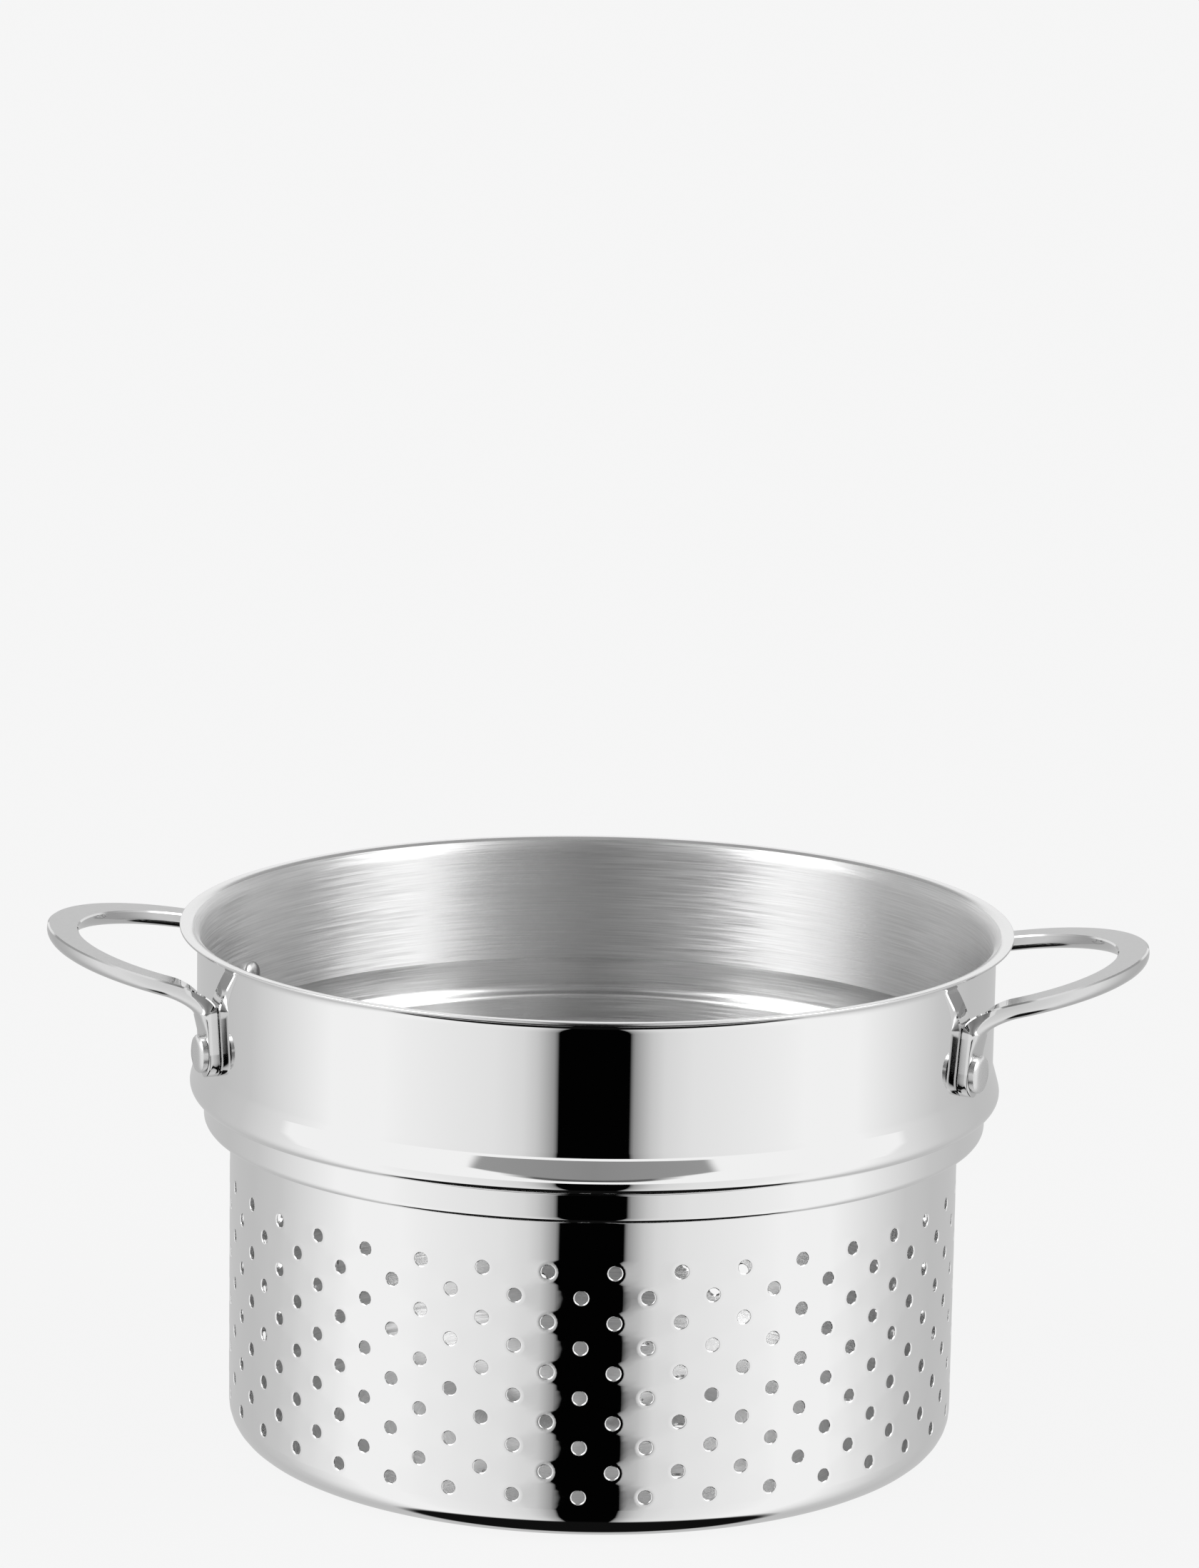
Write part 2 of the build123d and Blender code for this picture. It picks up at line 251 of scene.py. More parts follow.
def brushed_steel(name, low, high, colour, skew):
    """Stainless steel brushed round the basket's axis: fine rings that smear reflections up and down."""
    material, tree, output = new_material(name)
    place = add_node(tree, "ShaderNodeTexCoord").outputs["Object"]
    axes = add_node(tree, "ShaderNodeSeparateXYZ", {"Vector": place})
    turn = add_node(
        tree, "ShaderNodeMath", {0: axes.outputs["Y"], 1: axes.outputs["X"]}, operation="ARCTAN2"
    )
    across = add_node(tree, "ShaderNodeVectorMath", {0: place, 1: (1.0, 1.0, 0.0)}, operation="MULTIPLY")
    reach = add_node(tree, "ShaderNodeVectorMath", {0: across.outputs["Vector"]}, operation="LENGTH")
    along = add_node(tree, "ShaderNodeMath", {0: turn.outputs[0], 1: 6.0}, operation="MULTIPLY")
    # The belt's scratches are under 0.1 mm apart. They are drawn 0.4 mm apart, so that they show
    per_metre = 2400.0
    outwards, upwards = (
        add_node(tree, "ShaderNodeMath", {0: socket, 1: per_metre}, operation="MULTIPLY").outputs[0]
        for socket in (reach.outputs["Value"], axes.outputs["Z"])
    )
    lines = add_node(
        tree, "ShaderNodeCombineXYZ", {"X": along.outputs[0], "Y": outwards, "Z": upwards}
    )
    streaks = add_node(
        tree, "ShaderNodeTexNoise", {"Vector": lines.outputs["Vector"], "Scale": 1.0, "Detail": 3.0}
    )
    bump = add_node(
        tree, "ShaderNodeBump", {"Strength": 0.7, "Distance": 0.00005, "Height": streaks.outputs["Fac"]}
    )
    roughness = add_node(
        tree, "ShaderNodeMapRange", {"Value": streaks.outputs["Fac"], "To Min": low, "To Max": high}
    )
    grey = linear(colour)[0]
    middle_range = {"Value": streaks.outputs["Fac"], "From Min": 0.3, "From Max": 0.7}
    shade_of_line = add_node(
        tree, "ShaderNodeMapRange", {**middle_range, "To Min": 0.78 * grey, "To Max": grey}
    )
    # Each scratch runs a little askew, so the edge of a reflection is drawn out line by line
    round_the_axis = add_node(tree, "ShaderNodeTangent", direction_type="RADIAL", axis="Z").outputs[0]
    askew = add_node(tree, "ShaderNodeMapRange", {**middle_range, "To Min": -skew, "To Max": skew})
    sideways = add_node(
        tree, "ShaderNodeVectorMath", {0: round_the_axis, "Scale": askew.outputs["Result"]}, operation="SCALE"
    )
    leaning = add_node(
        tree,
        "ShaderNodeVectorMath",
        {0: bump.outputs["Normal"], 1: sideways.outputs["Vector"]},
        operation="ADD",
    )
    normal = add_node(
        tree, "ShaderNodeVectorMath", {0: leaning.outputs["Vector"]}, operation="NORMALIZE"
    )
    shader = add_node(
        tree,
        "ShaderNodeBsdfPrincipled",
        {
            "Base Color": shade_of_line.outputs["Result"],
            "Metallic": 1.0,
            "Roughness": roughness.outputs["Result"],
            "Anisotropic": 1.0,
            "Anisotropic Rotation": 0.25,
            "Tangent": round_the_axis,
            "Normal": normal.outputs["Vector"],
        },
    )
    tree.links.new(shader.outputs["BSDF"], output.inputs["Surface"])
    return material


def even_steel(name, colour, low, high):
    """Stainless steel with an even, slightly cloudy finish between two values of roughness."""
    material, tree, output = new_material(name)
    place = add_node(tree, "ShaderNodeTexCoord").outputs["Object"]
    clouds = add_node(tree, "ShaderNodeTexNoise", {"Vector": place, "Scale": 900.0, "Detail": 4.0})
    roughness = add_node(
        tree, "ShaderNodeMapRange", {"Value": clouds.outputs["Fac"], "To Min": low, "To Max": high}
    )
    shader = add_node(
        tree,
        "ShaderNodeBsdfPrincipled",
        {"Base Color": linear(colour), "Metallic": 1.0, "Roughness": roughness.outputs["Result"]},
    )
    tree.links.new(shader.outputs["BSDF"], output.inputs["Surface"])
    return material


def clear_selection():
    """Leaves edit mode and deselects every object."""
    if bpy.context.object and bpy.context.object.mode != "OBJECT":
        bpy.ops.object.mode_set(mode="OBJECT")
    bpy.ops.object.select_all(action="DESELECT")


def take_new(name):
    """Names the object that was just added."""
    piece = bpy.context.object
    piece.name = name
    piece.data.name = name
    return piece


def settle(piece):
    """Puts the object's place, turn and scale into its mesh."""
    clear_selection()
    piece.select_set(True)
    bpy.context.view_layer.objects.active = piece
    bpy.ops.object.transform_apply(location=True, rotation=True, scale=True)


def merge(piece):
    """Merges the vertices of an object that meet."""
    clear_selection()
    piece.select_set(True)
    bpy.context.view_layer.objects.active = piece
    bpy.ops.object.mode_set(mode="EDIT")
    bpy.ops.mesh.select_all(action="SELECT")
    bpy.ops.mesh.remove_doubles(threshold=0.02 * MM)
    bpy.ops.object.mode_set(mode="OBJECT")


def join(pieces, name):
    """Joins settled objects into one and merges the vertices that meet."""
    clear_selection()
    for piece in pieces:
        piece.select_set(True)
    bpy.context.view_layer.objects.active = pieces[0]
    bpy.ops.object.join()
    joined = take_new(name)
    merge(joined)
    return joined


def apply_modifier(piece, kind, **settings):
    """Adds a modifier with its settings and applies it."""
    clear_selection()
    piece.select_set(True)
    bpy.context.view_layer.objects.active = piece
    bpy.ops.object.modifier_add(type=kind)
    modifier = piece.modifiers[-1]
    for name, value in settings.items():
        setattr(modifier, name, value)
    bpy.ops.object.modifier_apply(modifier=modifier.name)


def pick(piece, test):
    """In edit mode, selects the vertices whose place passes a test."""
    bpy.ops.mesh.select_mode(type="VERT")
    bpy.ops.mesh.select_all(action="DESELECT")
    mesh = bmesh.from_edit_mesh(piece.data)
    for vertex in mesh.verts:
        vertex.select = bool(test(vertex.co))
    mesh.select_flush(True)
    bmesh.update_edit_mesh(piece.data)


def reach_of(place):
    """The distance from the Z axis."""
    return math.hypot(place.x, place.y)


def raise_rings(line, centre=(0, 0, 0)):
    """In edit mode, extrudes the selected ring along (radius, height) points. The first is its own."""
    for (old_radius, old_height), (radius, height) in zip(line, line[1:]):
        bpy.ops.mesh.extrude_region_move(TRANSFORM_OT_translate={"value": (0, 0, height - old_height)})
        scale = radius / old_radius
        bpy.ops.transform.resize(value=(scale, scale, 1), center_override=centre)


def rounded_line(corners, bends):
    """Points along a line whose corners are rounded. Each bend is a radius and its number of steps."""
    points = [Vector(corners[0])]
    for before, corner, after, (radius, steps) in zip(corners, corners[1:], corners[2:], bends):
        corner = Vector(corner)
        back = (Vector(before) - corner).normalized()
        ahead = (Vector(after) - corner).normalized()
        half = back.angle(ahead) / 2
        centre = corner + (back + ahead).normalized() * (radius / math.sin(half))
        start = corner + back * (radius / math.tan(half)) - centre
        side = 1 if back.x * ahead.y - back.y * ahead.x < 0 else -1
        for step in range(steps + 1):
            turn = side * (math.pi - 2 * half) * step / steps
            c, s = math.cos(turn), math.sin(turn)
            points.append(centre + Vector((start.x * c - start.y * s, start.x * s + start.y * c)))
    return points + [Vector(corners[-1])]


def finish_piece(piece, nodes, smooth=40):
    """Smooths a piece, puts it on its body and lets it stand for its CAD nodes."""
    clear_selection()
    piece.select_set(True)
    bpy.context.view_layer.objects.active = piece
    bpy.ops.object.shade_smooth_by_angle(angle=math.radians(smooth))
    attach(piece, "root")
    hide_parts(*nodes)


def holed_cell(sizes, width, height, x, z):
    """One cell of the flat wall with its punched hole: rolled in at the edge and a little proud round it."""
    clear_selection()
    bpy.ops.mesh.primitive_circle_add(vertices=16, radius=sizes.hole_radius, fill_type="NOTHING")
    cell = take_new("cell")
    bpy.ops.object.mode_set(mode="EDIT")
    bpy.ops.transform.translate(value=(0, 0, -sizes.hole_roll * 0.55))
    edge = sizes.hole_radius
    rings = [
        (edge, -sizes.hole_roll * 0.55),
        (edge + sizes.hole_roll * 0.45, -sizes.hole_roll * 0.1),
        (edge + sizes.hole_roll, sizes.hole_swell),
        (edge * 1.65, sizes.hole_swell * 0.75),
        (edge * 1.8, 0),
    ]
    raise_rings(rings)
    mesh = bmesh.from_edit_mesh(cell.data)
    for vertex in mesh.verts:
        if vertex.select:
            turn = round(math.degrees(math.atan2(vertex.co.y, vertex.co.x)) / 22.5)
            quarter = (turn - 4 + 8) % 16 - 8
            vertex.co.x = max(-2, min(2, 4 - abs(turn))) * width / 4
            vertex.co.y = max(-2, min(2, 4 - abs(quarter))) * height / 4
    bmesh.update_edit_mesh(cell.data)
    bpy.ops.object.mode_set(mode="OBJECT")
    cell.rotation_euler.x = math.pi / 2
    cell.location = (x, 0, z)
    settle(cell)
    return cell


def blank_cell(width, height, x, z):
    """One plain cell of the flat wall."""
    clear_selection()
    bpy.ops.mesh.primitive_grid_add(x_subdivisions=4, y_subdivisions=4, size=1)
    cell = take_new("cell")
    cell.scale = (width, height, 1)
    cell.rotation_euler.x = math.pi / 2
    cell.location = (x, 0, z)
    settle(cell)
    return cell


def perforated_wall(sizes):
    """The perforated band: four flat cells, repeated, then rolled up round the axis."""
    girth = 2 * math.pi * sizes.lower_radius
    width = girth / sizes.columns
    height = (sizes.top_row - sizes.bottom_row) / 9
    first = -sizes.columns / 2 * width
    cells = [
        blank_cell(width, height, first, sizes.top_row),
        holed_cell(sizes, width, height, first + width, sizes.top_row),
        holed_cell(sizes, width, height, first, sizes.top_row - height),
        blank_cell(width, height, first + width, sizes.top_row - height),
    ]
    wall = join(cells, "wall")
    row = {"use_relative_offset": False, "use_constant_offset": True}
    apply_modifier(
        wall, "ARRAY", count=round(sizes.columns / 2), constant_offset_displace=(2 * width, 0, 0), **row
    )
    apply_modifier(wall, "ARRAY", count=5, constant_offset_displace=(0, 0, -2 * height), **row)
    merge(wall)
    apply_modifier(wall, "SIMPLE_DEFORM", deform_method="BEND", deform_axis="Z", angle=2 * math.pi)
    wall.location.y = -sizes.lower_radius
    settle(wall)
    return wall, sizes.top_row + height / 2, sizes.bottom_row - height / 2


def turned_base(sizes, top, segments):
    """The base and its rounded corner, up to the perforated band."""
    flat = BASE_FLAT
    corner = sizes.base_corner
    outline = [(flat, 0), (sizes.lower_radius, 0), (sizes.lower_radius, top)]
    line = rounded_line(outline, [(corner, 8)])
    clear_selection()
    bpy.ops.mesh.primitive_circle_add(vertices=segments, radius=flat, fill_type="NOTHING")
    base = take_new("base")
    bpy.ops.object.mode_set(mode="EDIT")
    raise_rings(line)
    edge = sizes.hole_radius
    for ring in (1, 2, 3):
        place = (ring * sizes.base_pitch, 0, 0)
        bpy.ops.mesh.select_all(action="DESELECT")
        start = (place[0], 0, sizes.hole_roll * 0.5)
        bpy.ops.mesh.primitive_circle_add(vertices=16, radius=edge, fill_type="NOTHING", location=start)
        raise_rings([(edge, start[2]), (edge + sizes.hole_roll, 0)], centre=place)
        bpy.ops.mesh.select_linked()
        bpy.ops.mesh.spin(steps=6 * ring, dupli=True, angle=2 * math.pi, center=(0, 0, 0), axis=(0, 0, 1))
    bpy.ops.mesh.select_all(action="SELECT")
    bpy.ops.mesh.remove_doubles(threshold=0.01 * MM)
    pick(base, lambda co: abs(co.z) < 0.001 * MM and reach_of(co) < flat + 0.01 * MM)
    bpy.ops.mesh.fill(use_beauty=True)
    bpy.ops.object.mode_set(mode="OBJECT")
    return base


def turned_top(sizes, bottom, segments):
    """The shoulder, step, bead, upper wall and lip, from the perforated band upwards."""
    underside = sizes.rim_height - sizes.sheet
    swell = sizes.bead_swell
    middle = ((sizes.bead_radius + sizes.upper_radius) / 2 + swell, (sizes.ledge + sizes.bead_top) / 2)
    outline = [
        (sizes.lower_radius, bottom),
        (sizes.lower_radius, sizes.shoulder),
        (sizes.step_radius, sizes.shoulder),
        (sizes.step_radius, sizes.ledge),
        (sizes.bead_radius, sizes.ledge),
        middle,
        (sizes.upper_radius, sizes.bead_top),
        (sizes.upper_radius, underside),
        (sizes.rim_radius, underside),
    ]
    line = rounded_line(outline, [(radius * MM, steps) for radius, steps in TOP_BENDS])
    clear_selection()
    bpy.ops.mesh.primitive_circle_add(
        vertices=segments, radius=sizes.lower_radius, fill_type="NOTHING", location=(0, 0, bottom)
    )
    top = take_new("top")
    settle(top)
    bpy.ops.object.mode_set(mode="EDIT")
    bpy.ops.mesh.select_all(action="SELECT")
    raise_rings(line)
    bpy.ops.object.mode_set(mode="OBJECT")
    return top


class STRAINER_OT_basket(bpy.types.Operator):
    """Builds the basket: one sheet, drawn, spun and punched"""

    bl_idname = "strainer.basket"
    bl_label = "Build the basket"

    def execute(self, context):
        sizes = context.scene.strainer_basket
        segments = 4 * sizes.columns
        wall, wall_top, wall_bottom = perforated_wall(sizes)
        base = turned_base(sizes, wall_bottom, segments)
        top = turned_top(sizes, wall_top, segments)
        basket = join([wall, base, top], "basket")
        basket.rotation_euler.z = sizes.first_column
        settle(basket)
        bpy.ops.object.mode_set(mode="EDIT")
        bpy.ops.mesh.select_all(action="SELECT")
        bpy.ops.mesh.normals_make_consistent(inside=False)
        lowest = min(bmesh.from_edit_mesh(basket.data).faces, key=lambda face: face.calc_center_median().z)
        if lowest.normal.z > 0:
            bpy.ops.mesh.flip_normals()
        bpy.ops.object.mode_set(mode="OBJECT")
        materials = [
            mirror_polished_steel(),
            brushed_steel("brushed_stainless_inside", 0.38, 0.5, "#F0F0F0", 0.045),
            even_steel("punched_stainless_edge", "#C8C8C8", 0.12, 0.2),
            brushed_steel("spun_stainless_rings", 0.2, 0.26, "#E4E4E4", 0.03),
            even_steel("satin_stainless_lip", "#D8D8D8", 0.14, 0.2),
        ]
        for material in materials:
            basket.data.materials.append(material)
        apply_modifier(
            basket,
            "SOLIDIFY",
            thickness=sizes.sheet,
            offset=-1.0,
            use_even_offset=True,
            use_quality_normals=True,
            material_offset=INSIDE,
            material_offset_rim=PUNCHED_EDGE,
        )
        bpy.ops.object.mode_set(mode="EDIT")
        # The two edges of the lip's cut end are rounded over
        edge_reach = sizes.rim_radius * math.cos(math.pi / segments) - 0.02 * MM
        pick(basket, lambda co: reach_of(co) > edge_reach)
        bpy.ops.mesh.select_mode(type="EDGE")
        for edge in bmesh.from_edit_mesh(basket.data).edges:
            low, high = (vertex.co for vertex in edge.verts)
            level = abs(low.z - high.z) < 0.01 * MM
            edge.select = level and min(reach_of(low), reach_of(high)) > edge_reach
        bpy.ops.mesh.bevel(offset=sizes.sheet * 0.3, segments=3, affect="EDGES")
        bpy.ops.object.mode_set(mode="OBJECT")
        lip_bottom = sizes.rim_height - LIP_DEPTH
        rings_top = sizes.bead_top + 1.5 * MM
        for face in basket.data.polygons:
            if face.center.z > lip_bottom and reach_of(face.center) > LIP_START:
                face.material_index = LIP
            elif face.material_index == INSIDE and sizes.shoulder < face.center.z < rings_top:
                face.material_index = RINGS
        finish_piece(basket, ["strainer_basket"])
        apply_modifier(basket, "WEIGHTED_NORMAL", keep_sharp=True)
        return {"FINISHED"}


class BarLine:
    """The course of one half of a handle's bar, from the grip's tip to the end of a foot."""

    def __init__(self, sizes, basket, rivets):
        self.sizes = sizes
        self.basket = basket
        self.long = sizes.reach + sizes.centre_inset
        self.centre = basket.rim_radius - sizes.centre_inset
        self.face = basket.upper_radius + sizes.seat
        leg = math.asin(sizes.half_width / self.face)
        outward = Vector((math.cos(leg), math.sin(leg), 0))
        lean = sizes.foot_lean
        flat = math.cos(lean)
        self.across = Vector((-math.sin(leg) * flat, math.cos(leg) * flat, math.sin(lean)))
        self.up = outward.cross(self.across)
        self.rivet = outward * self.face + Vector((0, 0, rivets.height))
        room = self.grip_height(self.face * math.cos(leg)) - rivets.height
        self.rise = room * 0.63 / math.cos(lean)
        self.end_angle = math.radians(78)

    def grip_height(self, reach):
        """The height of the grip's flat top at a distance along X."""
        basket = self.basket
        return basket.rim_height - self.sizes.drop + (reach - basket.rim_radius) * math.tan(self.sizes.tilt)

    def loop_edge(self, inset, turn):
        """A point and the direction of travel on one edge of the flat top, round the loop."""
        long = self.long - (self.sizes.tip_width if inset else 0)
        wide = self.sizes.half_width - (self.sizes.leg_width if inset else 0)
        reach = self.centre + long * math.cos(turn)
        point = Vector((reach, wide * math.sin(turn), self.grip_height(reach)))
        inwards = -long * math.sin(turn)
        travel = Vector((inwards, wide * math.cos(turn), inwards * math.tan(self.sizes.tilt)))
        return point, travel.normalized()

    def bend_edge(self, inset, share):
        """A point and direction on one edge in the bend from the loop down to the foot."""
        start, travel = self.loop_edge(inset, self.end_angle)
        side = -1 if inset else 1
        end = self.rivet + self.across * (side * self.sizes.foot_width / 2) + self.up * self.rise
        span = (end - start).length
        first = start + travel * (span * 0.42)
        second = end + self.up * (span * 0.26)
        rest = 1 - share
        point = start * rest**3 + first * (3 * rest**2 * share)
        point += second * (3 * rest * share**2)
        point += end * share**3
        way = (first - start) * rest**2 + (second - first) * (2 * rest * share)
        way += (end - second) * share**2
        return point, way.normalized()

    def sections(self):
        """Every section as a list of points, from the grip's tip to the toe of the foot."""
        sizes = self.sizes
        rows = []
        for step in range(29):
            turn = self.end_angle * step / 28
            edges = [self.loop_edge(inset, turn) for inset in (False, True)]
            rows.append(self.section(*edges, sizes.side, sizes.depth, 0))
        for step in range(1, 23):
            share = step / 22
            edges = [self.bend_edge(inset, share) for inset in (False, True)]
            side = sizes.side + (sizes.foot_thickness * 0.6 - sizes.side) * share
            square = max(0, (share - 0.55) / 0.45) * 0.5
            rows.append(self.section(*edges, side, sizes.depth, square))
        half = sizes.foot_width / 2
        toe = half - sizes.foot_toe
        drop = self.rise - toe
        for step in range(1, 9):
            share = step / 8
            flatness = min(1, share * 2.4)
            depth = sizes.depth + (sizes.foot_thickness - sizes.depth) * flatness
            rows.append(self.foot_section(half, self.rise - drop * share, depth, 0.5 + 0.5 * flatness))
        for step in range(1, 9):
            turn = math.radians(84) * step / 8
            wide, height = half * math.cos(turn), toe - half * math.sin(turn)
            rows.append(self.foot_section(wide, height, sizes.foot_thickness, 1))
        return rows

    def foot_section(self, half, height, depth, square):
        """A section of the foot at a height above the rivet."""
        middle = self.rivet + self.up * height
        edges = [(middle + self.across * half, -self.up), (middle - self.across * half, -self.up)]
        return self.section(*edges, self.sizes.foot_thickness * 0.6, depth, square)

    def section(self, outer, inner, side, depth, square):
        """A D with its flat top between two edges. Square makes its round underside flat."""
        travel = (outer[1] + inner[1]).normalized()
        across = outer[0] - inner[0]
        half = across.length / 2
        across.normalize()
        down = travel.cross(across).normalized()
        middle = (outer[0] + inner[0]) / 2
        cut = min(self.sizes.chamfer, half * 0.4)
        power = 1 - 0.68 * square
        points = [(half - cut, 0), (half, cut)]
        for step in range(17):
            turn = math.pi * step / 16
            c, s = math.cos(turn), math.sin(turn)
            wide = math.copysign(abs(c) ** power, c) if abs(c) > 1e-9 else 0
            points.append((half * wide, side + (depth - side) * max(0, s) ** power))
        points += [(-half, cut), (cut - half, 0)]
        points += [((cut - half) * (1 - step / 3), 0) for step in (1, 2)]
        points += [((half - cut) * step / 3, 0) for step in (1, 2)]
        return [middle + across * x + down * y for x, y in points]


class STRAINER_OT_handles(bpy.types.Operator):
    """Builds both loop handles: one bar each, bent down into two flat feet"""

    bl_idname = "strainer.handles"
    bl_label = "Build the handles"

    def execute(self, context):
        scene = context.scene
        rows = BarLine(scene.strainer_handle, scene.strainer_basket, scene.strainer_rivet).sections()
        clear_selection()
        bpy.ops.mesh.primitive_circle_add(vertices=len(rows[0]), fill_type="NOTHING")
        handle = take_new("loop_handle_right")
        bpy.ops.object.mode_set(mode="EDIT")
        mesh = bmesh.from_edit_mesh(handle.data)
        mesh.verts.ensure_lookup_table()
        for vertex, place in zip(mesh.verts, rows[0]):
            vertex.co = place
        bmesh.update_edit_mesh(handle.data)
        bpy.ops.mesh.select_all(action="SELECT")
        for old, new in zip(rows, rows[1:]):
            bpy.ops.mesh.extrude_region()
            mesh = bmesh.from_edit_mesh(handle.data)
            for vertex in mesh.verts:
                if vertex.select:
                    nearest = min(range(len(old)), key=lambda place: (old[place] - vertex.co).length)
                    vertex.co = new[nearest]
            bmesh.update_edit_mesh(handle.data)
        bpy.ops.mesh.edge_face_add()
        bpy.ops.object.mode_set(mode="OBJECT")
        apply_modifier(handle, "MIRROR", use_axis=(False, True, False), merge_threshold=0.01 * MM)
        bpy.ops.object.mode_set(mode="EDIT")
        bpy.ops.mesh.select_all(action="SELECT")
        bpy.ops.mesh.remove_doubles(threshold=0.01 * MM)
        bpy.ops.mesh.normals_make_consistent(inside=False)
        bpy.ops.object.mode_set(mode="OBJECT")
        handle.data.materials.append(even_steel("polished_stainless_bar", "#D0D0D0", 0.05, 0.08))
        handle.data.materials.append(even_steel("satin_stainless_top", "#C4C4C4", 0.3, 0.38))
        for face in handle.data.polygons:
            if face.normal.z > 0.95 and face.center.x > scene.strainer_basket.bead_radius:
                face.material_index = 1
        clear_selection()
        handle.select_set(True)
        context.view_layer.objects.active = handle
        bpy.ops.object.duplicate()
        other = take_new("loop_handle_left")
        other.rotation_euler.z = math.pi
        settle(other)
        finish_piece(handle, ["handle_right"], 30)
        finish_piece(other, ["handle_left"], 30)
        return {"FINISHED"}


class STRAINER_OT_rivets(bpy.types.Operator):
    """Builds the four rivets: a bevelled head outside and a low dome inside"""

    bl_idname = "strainer.rivets"
    bl_label = "Build the rivets"

    def execute(self, context):
        scene = context.scene
        sizes, basket, bar = scene.strainer_rivet, scene.strainer_basket, scene.strainer_handle
        inner = basket.upper_radius - basket.sheet
        face = basket.upper_radius + bar.seat + bar.foot_thickness
        seat = math.sqrt(inner**2 - sizes.dome**2) - bar.seat - face
        line = []
        for step in range(1, 9):
            turn = math.radians(90) * step / 8
            line.append((sizes.dome * math.sin(turn), seat - sizes.dome_height * math.cos(turn)))
        bevel = sizes.head - sizes.bevel
        line += [(sizes.shank, seat), (sizes.shank, 0), (sizes.head, 0), (sizes.head, sizes.rim)]
        top = sizes.rim + sizes.bevel
        line += [(bevel, top), (bevel - 1.4 * MM, top + sizes.crown), (0.6 * MM, top + sizes.crown * 1.05)]
        clear_selection()
        bpy.ops.mesh.primitive_circle_add(
            vertices=48, radius=line[0][0], fill_type="NGON", location=(0, 0, line[0][1])
        )
        rivet = take_new("rivet")
        settle(rivet)
        bpy.ops.object.mode_set(mode="EDIT")
        bpy.ops.mesh.select_all(action="SELECT")
        bpy.ops.mesh.delete(type="ONLY_FACE")
        bpy.ops.mesh.select_all(action="SELECT")
        bpy.ops.mesh.duplicate()
        bpy.ops.mesh.edge_face_add()
        pick(rivet, lambda co: True)
        bpy.ops.mesh.remove_doubles(threshold=0.001 * MM)
        bpy.ops.mesh.select_all(action="SELECT")
        bpy.ops.mesh.region_to_loop()
        raise_rings(line)
        bpy.ops.mesh.edge_face_add()
        bpy.ops.mesh.select_all(action="SELECT")
        bpy.ops.mesh.normals_make_consistent(inside=False)
        bpy.ops.object.mode_set(mode="OBJECT")
        rivet.data.materials.append(even_steel("satin_stainless_rivet", "#D6D6D6", 0.2, 0.3))
        leg = math.asin(bar.half_width / (basket.upper_radius + bar.seat))
        places = {
            "right_front": -leg,
            "right_rear": leg,
            "left_front": math.pi + leg,
            "left_rear": math.pi - leg,
        }
        for name, turn in places.items():
            clear_selection()
            rivet.select_set(True)
            context.view_layer.objects.active = rivet
            bpy.ops.object.duplicate()
            one = take_new(f"set_rivet_{name}")
            one.matrix_world = (
                Matrix.Translation((0, 0, sizes.height))
                @ Matrix.Rotation(turn, 4, "Z")
                @ Matrix.Translation((face, 0, 0))
                @ Matrix.Rotation(math.pi / 2, 4, "Y")
            )
            settle(one)
            finish_piece(one, [f"rivet_{name}"], 30)
        bpy.data.objects.remove(rivet)
        return {"FINISHED"}


def blend_by_rise(tree, rise, start, end, below, above):
    """Blends from one colour to another between two elevations, given in degrees."""
    share = add_node(
        tree,
        "ShaderNodeMapRange",
        {"Value": rise, "From Min": math.radians(start), "From Max": math.radians(end)},
        interpolation_type="SMOOTHSTEP",
    )
    return add_node(
        tree, "ShaderNodeMix", {0: share.outputs["Result"], 6: below, 7: above}, data_type="RGBA"
    ).outputs[2]


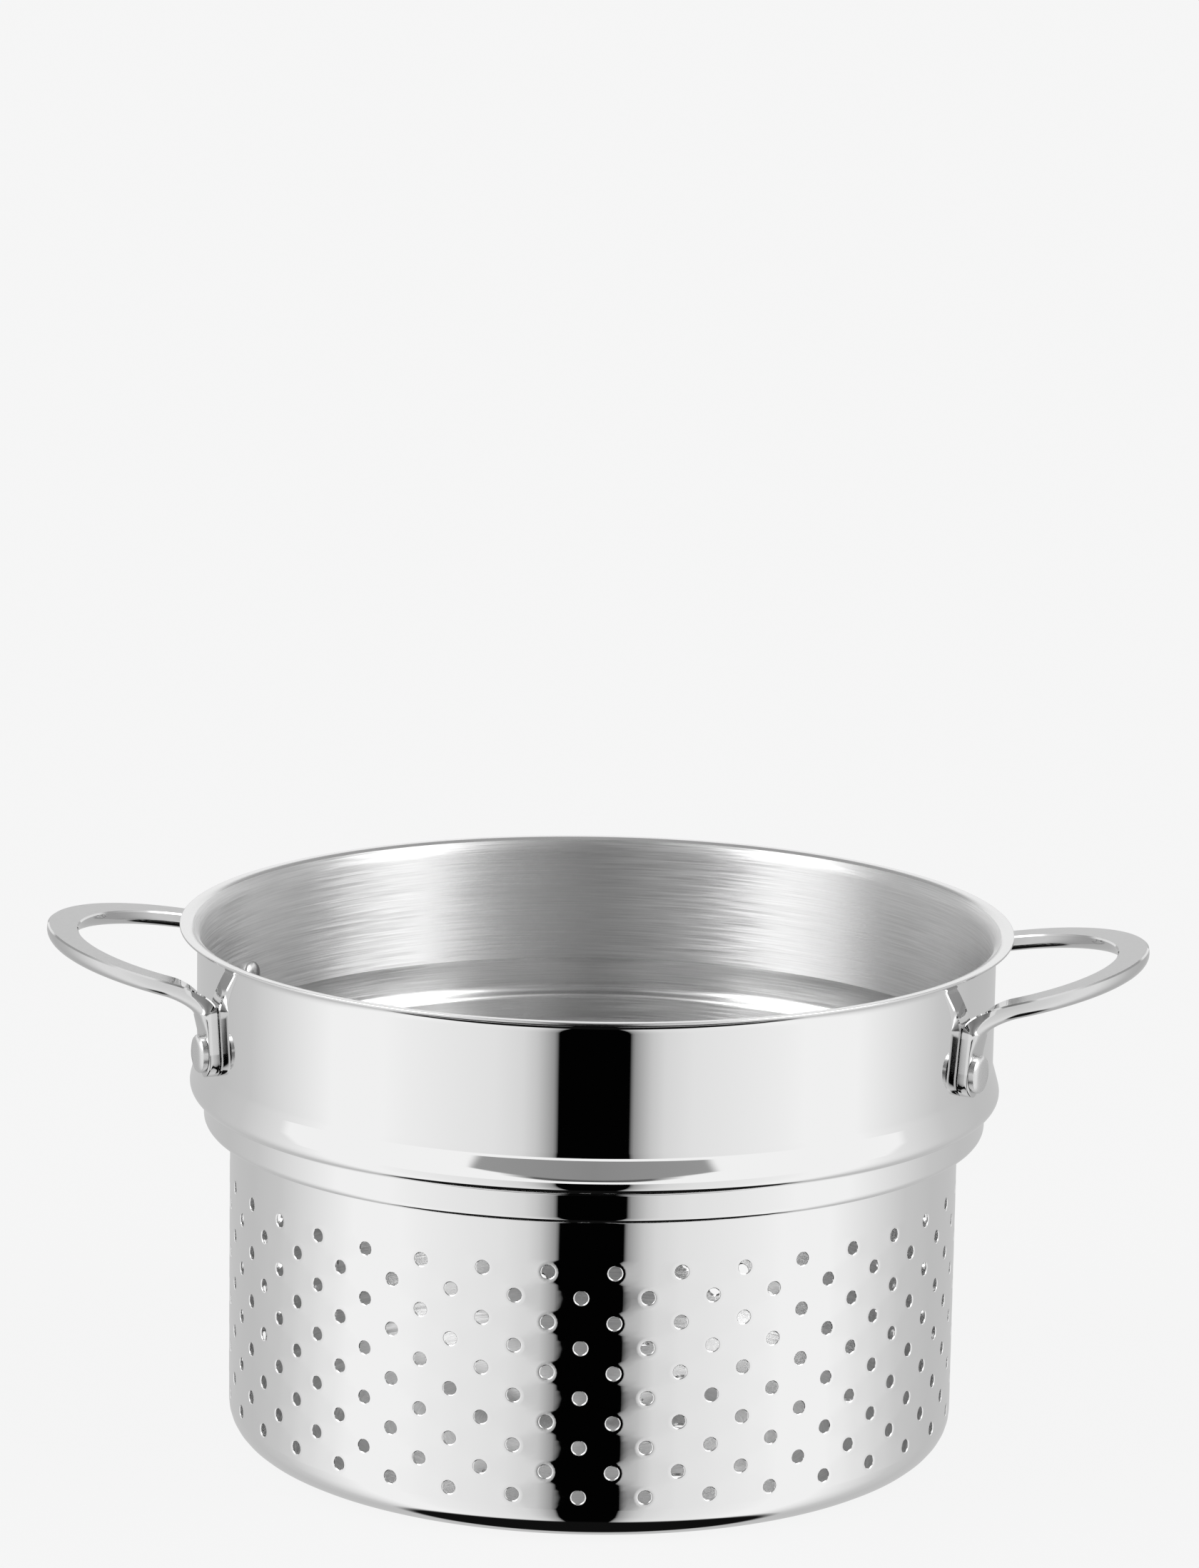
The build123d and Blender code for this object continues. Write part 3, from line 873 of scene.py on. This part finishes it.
def studio_world(settings):
    """Soft white surroundings, with the dark gap at the camera that the polished walls show, and painted
    shade steeply below that stands for the shaded floor under the basket.
    """
    world = bpy.data.worlds.new("soft_studio")
    bpy.context.scene.world = world
    world.use_nodes = True
    tree = world.node_tree
    tree.nodes.clear()
    way = add_node(tree, "ShaderNodeTexCoord").outputs["Generated"]
    turned = add_node(
        tree, "ShaderNodeMapping", {"Vector": way, "Rotation": (0, 0, -settings.azimuth)}, vector_type="POINT"
    )
    axes = add_node(tree, "ShaderNodeSeparateXYZ", {"Vector": turned.outputs["Vector"]})
    front = add_node(tree, "ShaderNodeMath", {0: axes.outputs["Y"], 1: -1.0}, operation="MULTIPLY")
    turn = add_node(tree, "ShaderNodeMath", {0: axes.outputs["X"], 1: front.outputs[0]}, operation="ARCTAN2")
    away = add_node(tree, "ShaderNodeMath", {0: turn.outputs[0]}, operation="ABSOLUTE")
    share = add_node(tree, "ShaderNodeMath", {0: away.outputs[0], 1: math.pi}, operation="DIVIDE")
    rise = add_node(tree, "ShaderNodeMath", {0: axes.outputs["Z"]}, operation="ARCSINE").outputs[0]
    bands = []
    for stops in (LOW_BAND, SEAM_BAND, LENS_BAND, HIGH_BAND, OVERHEAD_BAND, LAMP_BAND):
        ramp = add_node(tree, "ShaderNodeValToRGB", {"Fac": share.outputs[0]})
        add_stops(ramp, [(degrees / 180, level) for degrees, level in stops])
        bands.append(ramp.outputs["Color"])
    low, seam, lens, high, overhead, lamp = bands
    white = linear("#F6F6F6")
    # Steeply below, the surroundings are painted near black: a painted shadow standing for the shaded floor
    # under the basket, which the polished corners and edges show in reflection
    colour = blend_by_rise(tree, rise, -63, -58, linear("#101010"), low)
    colour = blend_by_rise(tree, rise, 5.0, 6.0, colour, white)
    colour = blend_by_rise(tree, rise, 13.9, 14.1, colour, seam)
    colour = blend_by_rise(tree, rise, 14.3, 14.6, colour, lens)
    colour = blend_by_rise(tree, rise, 16.4, 17.4, colour, high)
    colour = blend_by_rise(tree, rise, 22, 28, colour, overhead)
    # The two soft lights themselves are brighter than what they light
    black = linear("#000000")
    glow = blend_by_rise(tree, rise, 15, 22, black, lamp)
    glow = blend_by_rise(tree, rise, 58, 66, glow, black)
    strength = add_node(
        tree,
        "ShaderNodeMapRange",
        {"Value": glow, "To Min": settings.light, "To Max": settings.light * settings.lamps},
    )
    light = add_node(
        tree, "ShaderNodeBackground", {"Color": colour, "Strength": strength.outputs["Result"]}
    )
    output = add_node(tree, "ShaderNodeOutputWorld")
    tree.links.new(light.outputs["Background"], output.inputs["Surface"])


class STRAINER_OT_studio(bpy.types.Operator):
    """Builds the pale floor, the soft light and the camera"""

    bl_idname = "strainer.studio"
    bl_label = "Build the studio"

    def execute(self, context):
        scene = context.scene
        settings = scene.strainer_studio
        clear_selection()
        bpy.ops.mesh.primitive_circle_add(vertices=96, radius=settings.floor_radius, fill_type="NGON")
        floor = take_new("studio_floor")
        floor.location.z = -0.02 * MM
        settle(floor)
        floor.visible_glossy = False
        material, tree, output = new_material("pale_paper_floor")
        glow = add_node(
            tree, "ShaderNodeEmission", {"Color": linear(settings.floor), "Strength": 0.97}
        )
        paper = add_node(tree, "ShaderNodeBsdfDiffuse", {"Color": linear("#2E2E2E")})
        both = add_node(
            tree, "ShaderNodeAddShader", {0: glow.outputs["Emission"], 1: paper.outputs["BSDF"]}
        )
        tree.links.new(both.outputs["Shader"], output.inputs["Surface"])
        floor.data.materials.append(material)
        studio_world(settings)
        target = Vector((0, 0, settings.target))
        aim = Matrix.Rotation(settings.azimuth, 4, "Z") @ Matrix.Rotation(
            math.pi / 2 - settings.elevation, 4, "X"
        )
        bpy.ops.object.camera_add()
        camera = take_new("studio_camera")
        camera.data.lens = settings.lens
        camera.data.clip_end = 100
        camera.matrix_world = (
            Matrix.Translation(target)
            @ aim
            @ Matrix.Translation((0, 0, settings.distance))
            @ Matrix.Rotation(settings.roll, 4, "Z")
        )
        scene.camera = camera
        scene.view_settings.view_transform = "Standard"
        return {"FINISHED"}


class STRAINER_PT_panel(bpy.types.Panel):
    """Lists the pieces of the strainer insert"""

    bl_idname = "STRAINER_PT_panel"
    bl_label = "Strainer insert"
    bl_space_type = "VIEW_3D"
    bl_region_type = "UI"
    bl_category = "Strainer"

    def draw(self, context):
        for operator in OPERATORS:
            self.layout.operator(operator.bl_idname)


SETTINGS = {
    "strainer_basket": BasketSizes,
    "strainer_handle": HandleSizes,
    "strainer_rivet": RivetSizes,
    "strainer_studio": StudioSettings,
}
OPERATORS = [STRAINER_OT_studio, STRAINER_OT_basket, STRAINER_OT_handles, STRAINER_OT_rivets]
CLASSES = [*SETTINGS.values(), *OPERATORS, STRAINER_PT_panel]


def register():
    """Registers the classes and gives the scene their settings."""
    for cls in CLASSES:
        bpy.utils.register_class(cls)
    for name, cls in SETTINGS.items():
        setattr(bpy.types.Scene, name, PointerProperty(type=cls))


def unregister():
    """Takes the settings and the classes away again."""
    for name in SETTINGS:
        delattr(bpy.types.Scene, name)
    for cls in reversed(CLASSES):
        bpy.utils.unregister_class(cls)


def main():
    """Builds the studio and every piece."""
    register()
    bpy.ops.strainer.studio()
    bpy.ops.strainer.basket()
    bpy.ops.strainer.handles()
    bpy.ops.strainer.rivets()


if __name__ == "__main__":
    main()
